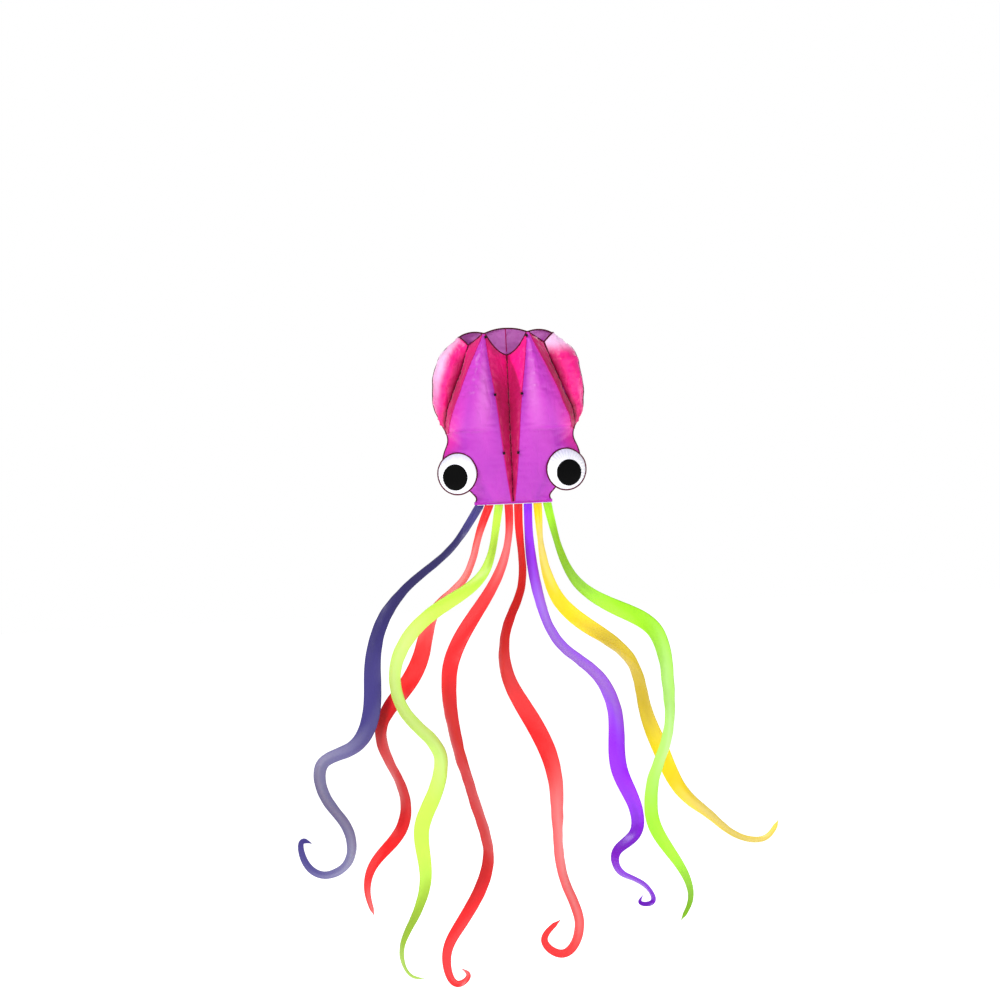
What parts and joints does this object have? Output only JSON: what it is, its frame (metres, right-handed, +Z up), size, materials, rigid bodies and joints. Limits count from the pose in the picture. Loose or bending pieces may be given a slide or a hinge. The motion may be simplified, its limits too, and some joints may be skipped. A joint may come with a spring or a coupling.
{
  "type": "octopus kite",
  "caption": "Frameless soft octopus kite: ram-air ripstop head with two round eyes and eight long coloured ribbon tails that swing from its hem.",
  "frame": {"origin": "midway between the bores of the two upper bridle loops, on the mirror plane of the head", "axes": "+Z up from the hem to the air intake, -Y forwards out of the face with the eyes, +X to the right seen from the front"},
  "size_m": [2.6055, 0.319, 3.5495],
  "materials": {
    "violet_ripstop": "satin",
    "pink_ripstop": "satin",
    "rib_ripstop": "satin",
    "crimson_binding": "matte",
    "eye_white": "satin",
    "eye_black": "matte",
    "black_webbing": "matte",
    "navy_tail": "satin",
    "red_tail": "satin",
    "scarlet_tail": "satin",
    "lime_tail": "satin",
    "violet_tail": "satin",
    "yellow_tail": "satin",
    "green_tail": "satin"
  },
  "bodies": {
    "head": {"front_panel_left": "violet_ripstop", "front_panel_right": "violet_ripstop", "centre_gore_left": "pink_ripstop", "centre_gore_right": "pink_ripstop", "side_gore_left": "pink_ripstop", "side_gore_right": "pink_ripstop", "side_lobe_left": "pink_ripstop", "side_lobe_right": "pink_ripstop", "back_panel_side_left": "violet_ripstop", "back_panel_side_right": "violet_ripstop", "back_panel_middle_left": "violet_ripstop", "back_panel_middle_right": "violet_ripstop", "side_rib_left": "rib_ripstop", "side_rib_right": "rib_ripstop", "ridge_binding_left": "crimson_binding", "ridge_binding_right": "crimson_binding", "edge_binding_left": "crimson_binding", "edge_binding_right": "crimson_binding", "shoulder_binding_left": "crimson_binding", "shoulder_binding_right": "crimson_binding", "side_valley_binding_left": "crimson_binding", "side_valley_binding_right": "crimson_binding", "back_side_binding_left": "crimson_binding", "back_side_binding_right": "crimson_binding", "eye_white_left": "eye_white", "eye_white_right": "eye_white", "eye_pupil_left": "eye_black", "eye_pupil_right": "eye_black", "eye_rim_left": "eye_black", "eye_rim_right": "eye_black", "bridle_loop_upper_left": "black_webbing", "bridle_loop_upper_right": "black_webbing", "bridle_loop_middle_left": "black_webbing", "bridle_loop_middle_right": "black_webbing", "bridle_loop_lower_left": "black_webbing", "bridle_loop_lower_right": "black_webbing", "centre_rib": "rib_ripstop", "centre_valley_binding": "crimson_binding", "back_middle_binding": "crimson_binding", "mouth_binding_front": "crimson_binding", "mouth_binding_back": "crimson_binding", "hem_tape": "crimson_binding"},
    "tail_1_navy": {"tail_1_navy": "navy_tail"},
    "tail_2_red": {"tail_2_red": "red_tail"},
    "tail_3_lime": {"tail_3_lime": "lime_tail"},
    "tail_4_scarlet": {"tail_4_scarlet": "scarlet_tail"},
    "tail_5_red": {"tail_5_red": "red_tail"},
    "tail_6_violet": {"tail_6_violet": "violet_tail"},
    "tail_7_yellow": {"tail_7_yellow": "yellow_tail"},
    "tail_8_green": {"tail_8_green": "green_tail"}
  },
  "joints": [
    {"name": "tail_1_navy_swing", "type": "hinge", "parent": "head", "child": "tail_1_navy", "pos_m": [-0.182, 0.15827, -0.89772], "axis": [1, 0, 0], "range_deg": [-70, 0]},
    {"name": "tail_2_red_swing", "type": "hinge", "parent": "head", "child": "tail_2_red", "pos_m": [-0.13, 0.15827, -0.89772], "axis": [1, 0, 0], "range_deg": [0, 70]},
    {"name": "tail_3_lime_swing", "type": "hinge", "parent": "head", "child": "tail_3_lime", "pos_m": [-0.078, 0.15827, -0.89772], "axis": [1, 0, 0], "range_deg": [-70, 0]},
    {"name": "tail_4_scarlet_swing", "type": "hinge", "parent": "head", "child": "tail_4_scarlet", "pos_m": [-0.026, 0.15827, -0.89772], "axis": [1, 0, 0], "range_deg": [-70, 70]},
    {"name": "tail_5_red_swing", "type": "hinge", "parent": "head", "child": "tail_5_red", "pos_m": [0.026, 0.15827, -0.89772], "axis": [1, 0, 0], "range_deg": [-70, 70]},
    {"name": "tail_6_violet_swing", "type": "hinge", "parent": "head", "child": "tail_6_violet", "pos_m": [0.078, 0.15827, -0.89772], "axis": [1, 0, 0], "range_deg": [-70, 70]},
    {"name": "tail_7_yellow_swing", "type": "hinge", "parent": "head", "child": "tail_7_yellow", "pos_m": [0.13, 0.15827, -0.89772], "axis": [1, 0, 0], "range_deg": [0, 70]},
    {"name": "tail_8_green_swing", "type": "hinge", "parent": "head", "child": "tail_8_green", "pos_m": [0.182, 0.15827, -0.89772], "axis": [1, 0, 0], "range_deg": [-70, 0]}
  ]
}
